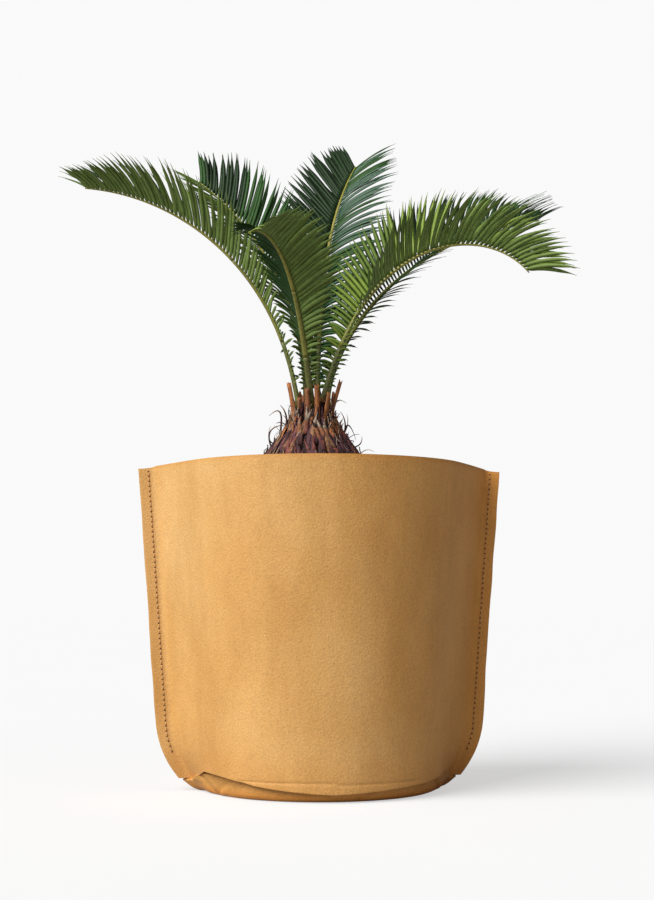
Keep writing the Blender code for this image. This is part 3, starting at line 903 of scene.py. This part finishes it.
def inside(point):
    """Whether a point lies well inside the CAD model's box."""
    return all(low + REACH_MARGIN < place < high - REACH_MARGIN
               for low, place, high in zip(cad_box[0], point, cad_box[1]))


def walked(place, heading, pull, length):
    """Points and directions of a line that sets out along the heading and bends to the pull."""
    line = [(place, heading)]
    for _ in range(LINE_STEPS):
        place = place + heading * length / LINE_STEPS
        heading = (heading + pull / LINE_STEPS).normalized()
        line.append((place, heading))
    return line


def leaflet_line(frond, frames, u, side, deal):
    """Points and directions down the middle of a leaflet.

    It follows the CAD source's law with its rank's departures and a scatter that is wider at the frond's
    foot, where the leaflets get ever shorter. One that would leave the CAD model's box is shortened.
    """
    place, along, across, upper = frame_at(frames, u)
    t = (u - BARE) / (LAST - BARE)
    rank = RANKS[frond.name, side]
    out = smooth(t / 0.5)
    loose = 1 + LOOSE_FOOT * smooth(1 - (t + 0.12) / 0.35)
    sweep = math.radians(mix(frond.sweep, t) + mix(rank.sweep, out) + deal.gauss(0, SWEEP_SCATTER) * loose)
    vee = math.radians(mix(frond.vee, t) + mix(rank.vee, out) + deal.gauss(0, VEE_SCATTER) * loose)
    outward = across * side * math.cos(vee) + upper * math.sin(vee)
    heading = along * math.cos(sweep) + outward * math.sin(sweep)
    growth = mix((LOWEST_SHARE, 1), smooth(t / FULL_FROM)) * (1 + 3.5 * min(t, 0)) * mix(rank.length, out)
    growth *= mix((1, frond.tip_share), smooth((t - FULL_TO) / (1 - FULL_TO))) * deal.uniform(0.965, 1.0)
    pull = along * FORWARD * rank.forward - Vector((0, 0, mix(DROOP, max(t, 0)) * rank.droop))
    line = walked(place, heading, pull, frond.leaf * MM * growth)
    while not all(inside(point) for point, _ in line):
        growth *= SHORTER
        line = walked(place, heading, pull, frond.leaf * MM * growth)
    return line, along, upper


def leaflet_width(s):
    """A leaflet's width along its length: narrow at the rib, a long even blade and a drawn-out point."""
    return mix((0.5, 1.0), smooth(s / 0.12)) * (1 - smooth((s - 0.62) / 0.38) * 0.94)


def add_leaflet(builder, line, along, upper, width, looks):
    """A leaflet of four sides, arched across, the first two of its looks on its upper face."""
    rings = []
    for step, (place, heading) in enumerate(line):
        s = step / LINE_STEPS
        across = (along - heading * along.dot(heading)).normalized()
        face = heading.cross(across)
        if face.dot(upper) < 0:
            face.negate()
        half = width / 2 * leaflet_width(s)
        arch = half * LEAFLET_ARCH
        thick = LEAFLET_THICK * mix((1.3, 0.5), s)
        rings.append([place - across * half - face * arch, place + face * thick * 0.3,
                      place + across * half - face * arch, place - face * thick])
    builder.tube(rings, looks)


def make_frond(frond, palette, seed):
    frames = rib_frames(frond)
    deal = random.Random(seed)
    count = round((LAST - SCENE_BARE) * frond.length * MM / PITCH)
    builder = Builder()
    for side, tones in zip((1, -1), palette):
        tone = 0
        for index in range(count + 1):
            share = index / count
            if index % SPRAY == 0:
                tone = deal.choice(tones)
            line, along, upper = leaflet_line(frond, frames, mix((SCENE_BARE, LAST), share), side, deal)
            width = BLADE_WIDTH * RANKS[frond.name, side].width * deal.uniform(0.92, 1.05)
            width *= mix((0.6, 1), smooth(share / 0.35))
            # Painted light and shade: the underside is pale under the lit ranks' tones and dark under the
            # shaded ranks' tones.
            under = UNDERSIDE if tone in (DEEP, DARK, BLUISH) else PALE_UNDERSIDE
            add_leaflet(builder, line, along, upper, width, [tone, tone, under, under])
    nodes = [f"frond_{frond.name}_inner", f"frond_{frond.name}_outer"]
    return builder.piece(f"leaflets_{frond.name}", "frond", LEAF_LOOKS, *nodes)


def make_ribs(materials):
    """The six ribs, flatter above, each in three looks from foot to tip."""
    builder = Builder()
    for frond in FRONDS:
        frames = rib_frames(frond)
        rings = []
        shares = [step / RIB_RINGS for step in range(RIB_RINGS + 1)]
        foot = Vector((frames[0][0].x, frames[0][0].y, FOOT - RIB_SUNK))
        spine = [(foot, *frames[0][1:], 0)] + [(*frame_at(frames, u), u) for u in shares]
        for place, _, across, upper, u in spine:
            radius = rib_radius(frond, u)
            ring = []
            for side in range(RIB_SIDES):
                turn = math.tau * side / RIB_SIDES
                lift = math.sin(turn)
                ring.append(place + across * math.cos(turn) * radius
                            + upper * lift * radius * (RIB_FLATNESS if lift > 0 else 1.0))
            rings.append(ring)
        marks = (0, 12, 30, len(rings) - 1)
        for look, (start, end) in enumerate(zip(marks, marks[1:])):
            builder.tube(rings[start:end + 1], look)
    return builder.piece("frond_ribs", "frond", materials)


# What each look is: colours, roughness and the scale of its grain

LEATHER_TAN = leather_look("leather_tan", (0.68, 0.345, 0.092), (0.745, 0.41, 0.130), (0.80, 0.475, 0.178),
                           [(0.0, (0.9, 0.8, 0.65)), (0.04, (1, 1, 1)),
                            (0.2575, (1, 1, 1)), (0.26, (0.86, 0.74, 0.5))])
LEATHER_EDGE = plain_look("leather_cut_edge", (0.50, 0.22, 0.06), 0.85, scale=700)
LEATHER_BASE = leather_look("leather_base_tan", (0.60, 0.28, 0.060), (0.74, 0.36, 0.09), (0.83, 0.44, 0.13),
                            [(0.0, (1, 0.8, 0.5)), (0.0035, (1, 0.85, 0.6)),
                             (0.006, (0.9, 0.88, 0.85)), (0.012, (0.8, 0.82, 0.8))])
THREAD = plain_look("thread_tan", (0.66, 0.38, 0.16), 0.7, scale=1500)
# Painted shade: the needle holes are dark raised discs, not pits, whose colour stands in for the shade inside
# each hole.
HOLE_PAINTED_SHADE = plain_look("needle_hole_painted_shade", (0.15, 0.065, 0.022), 0.9, scale=900)
SOIL_LOOKS = [plain_look("potting_soil", (0.035, 0.022, 0.014), 0.95, 0.5, 500, 0.5),
              plain_look("soil_crumb", (0.06, 0.036, 0.022), 0.95, 0.4, 600, 0.3),
              plain_look("bark_chip", (0.13, 0.065, 0.035), 0.85, 0.4, 600, 0.3)]
FIBROUS = (1, 1, 0.2)
TRUNK_LOOKS = [plain_look("trunk_core", (0.035, 0.014, 0.012), 0.9, 0.5, 400, 0.5, FIBROUS),
               plain_look("scale_dark", (0.050, 0.020, 0.020), 0.8, 0.5, 500, 0.4, FIBROUS),
               plain_look("scale_red", (0.19, 0.050, 0.034), 0.75, 0.45, 500, 0.4, FIBROUS),
               plain_look("scale_tan", (0.28, 0.135, 0.060), 0.8, 0.4, 500, 0.4, FIBROUS),
               plain_look("scale_grey", (0.34, 0.25, 0.18), 0.85, 0.4, 500, 0.4, FIBROUS),
               plain_look("scale_plum", (0.105, 0.034, 0.044), 0.8, 0.45, 500, 0.4, FIBROUS),
               plain_look("stalk_orange", (0.42, 0.150, 0.045), 0.75, 0.6, 500, 0.35, FIBROUS),
               plain_look("stalk_brown", (0.24, 0.085, 0.030), 0.8, 0.4, 500, 0.35, FIBROUS)]
# Leaf greens: lime and the pale underside stand partly for painted light, dark and deep partly for painted
# shade.
LEAF_LOOKS = [leaf_look("leaf_lime", (0.235, 0.330, 0.055)),
              leaf_look("leaf_mid", (0.145, 0.225, 0.040)),
              leaf_look("leaf_olive", (0.092, 0.148, 0.025)),
              leaf_look("leaf_deep", (0.034, 0.094, 0.020)),
              leaf_look("leaf_bluish", (0.030, 0.098, 0.040), 0.36, 0.5),
              leaf_look("leaf_dark", (0.018, 0.042, 0.013), 0.45),
              leaf_look("leaf_under", (0.034, 0.084, 0.022), 0.6, 0.15),
              leaf_look("leaf_under_pale", (0.175, 0.255, 0.060), 0.6, 0.25)]
LIME, MID, OLIVE, DEEP, BLUISH, DARK, UNDERSIDE, PALE_UNDERSIDE = range(8)
RIB_LOOKS = [plain_look("rib_foot", (0.135, 0.145, 0.032), 0.5, 0.3, 300, 0.2),
             plain_look("rib_middle", (0.235, 0.225, 0.040), 0.45, 0.25, 300, 0.15),
             plain_look("rib_tip", (0.33, 0.30, 0.050), 0.45, 0.25, 300, 0.1)]
# The looks dealt out by spray to each frond's two ranks. They are partly a real change of tone from spray to
# spray and partly painted light and shade: ranks that face the key light get lime and mid greens, ranks in
# shade get dark and deep greens, and they keep these tones from every side.
PALETTES = {
    "front": ((LIME, LIME, MID), (DARK, DARK, DEEP)),
    "right": ((LIME, MID, MID), (MID, MID, OLIVE)),
    "left": ((LIME, LIME, MID), (MID, OLIVE, DARK)),
    "back": ((DARK,), (BLUISH, BLUISH, DEEP)),
    "back_left": ((MID, OLIVE), (DEEP, DARK)),
    "back_right": ((DARK, DEEP), (DEEP, DARK)),
}

make_panel("leather_panel_front", "pot_front_panel", 0, 0, [LEATHER_TAN, LEATHER_EDGE])
make_panel("leather_panel_back", "pot_back_panel", math.pi, 3, [LEATHER_TAN, LEATHER_EDGE])
make_tray(LEATHER_BASE)
make_stitches([THREAD, HOLE_PAINTED_SHADE])
make_soil(SOIL_LOOKS)
make_trunk(TRUNK_LOOKS)
make_ribs(RIB_LOOKS)
for number, frond in enumerate(FRONDS):
    make_frond(frond, PALETTES[frond.name], 100 + number)

# Camera, at the photograph's angle
CAMERA_AZIMUTH = math.radians(-6.5)
CAMERA_DISTANCE = 1.30
CAMERA_HEIGHT = 0.150
AIM_RIGHT = 0.005
AIM_HEIGHT = 0.276
FOCAL_PIXELS = 1577
PHOTO_HEIGHT_PIXELS = 900
SENSOR = 36

sideways = Vector((math.cos(CAMERA_AZIMUTH), math.sin(CAMERA_AZIMUTH), 0))
backwards = Vector((math.sin(CAMERA_AZIMUTH), -math.cos(CAMERA_AZIMUTH), 0))
aim = sideways * AIM_RIGHT + Vector((0, 0, AIM_HEIGHT))
eye = sideways * AIM_RIGHT + backwards * CAMERA_DISTANCE + Vector((0, 0, CAMERA_HEIGHT))
lens = bpy.data.cameras.new("camera")
lens.sensor_fit = "VERTICAL"
lens.sensor_height = SENSOR
lens.lens = SENSOR * (FOCAL_PIXELS / PHOTO_HEIGHT_PIXELS)
camera = bpy.data.objects.new("camera", lens)
camera.location = eye
camera.rotation_euler = (aim - eye).to_track_quat("-Z", "Y").to_euler()
bpy.context.scene.collection.objects.link(camera)
bpy.context.scene.camera = camera


# Floor and light

FLOOR_REACH = 20
FLOOR_TONES = (0.388, 0.398)
FLOOR_GLOW = (0.0, 0.54)
WORLD_GLOW = (0.25, 1.0)
SUN_STRENGTH = 3.9
SUN_SPREAD = math.radians(44)
SUN_FROM = (-0.78, -0.50, 0.78)


def seen_strength(tree, socket, low, high):
    """A strength that is low for the light that falls on the plant and high for what the camera sees."""
    paths = tree.nodes.new("ShaderNodeLightPath")
    strength = tree.nodes.new("ShaderNodeMapRange")
    strength.inputs["To Min"].default_value = low
    strength.inputs["To Max"].default_value = high
    tree.links.new(paths.outputs["Is Camera Ray"], strength.inputs["Value"])
    tree.links.new(strength.outputs["Result"], socket)


floor_mesh = bpy.data.meshes.new("floor")
corners = [(x * FLOOR_REACH, y * FLOOR_REACH, 0) for x, y in ((-1, -1), (1, -1), (1, 1), (-1, 1))]
floor_mesh.from_pydata(corners, [], [(0, 1, 2, 3)])
floor = bpy.data.objects.new("floor", floor_mesh)
bpy.context.scene.collection.objects.link(floor)
floor_look = Look("floor_white", 0.9, Specular_IOR_Level=0.0)
floor_look.set("Emission Color", (1, 1, 1, 1))
seen_strength(floor_look.material.node_tree, floor_look.shader.inputs["Emission Strength"], *FLOOR_GLOW)
floor_look.colour(floor_look.ramp(floor_look.noise(3, 2), list(zip((0.0, 1.0), FLOOR_TONES))))
floor_mesh.materials.append(floor_look.material)

world = bpy.data.worlds.new("studio")
world.use_nodes = True
bpy.context.scene.world = world
background = world.node_tree.nodes["Background"]
background.inputs["Color"].default_value = (0.95, 0.95, 0.95, 1)
seen_strength(world.node_tree, background.inputs["Strength"], *WORLD_GLOW)

sun_data = bpy.data.lights.new("key", "SUN")
sun_data.energy = SUN_STRENGTH
sun_data.angle = SUN_SPREAD
sun = bpy.data.objects.new("key", sun_data)
sun.rotation_euler = Vector(SUN_FROM).to_track_quat("Z", "Y").to_euler()
bpy.context.scene.collection.objects.link(sun)

bpy.context.scene.view_settings.view_transform = "Standard"
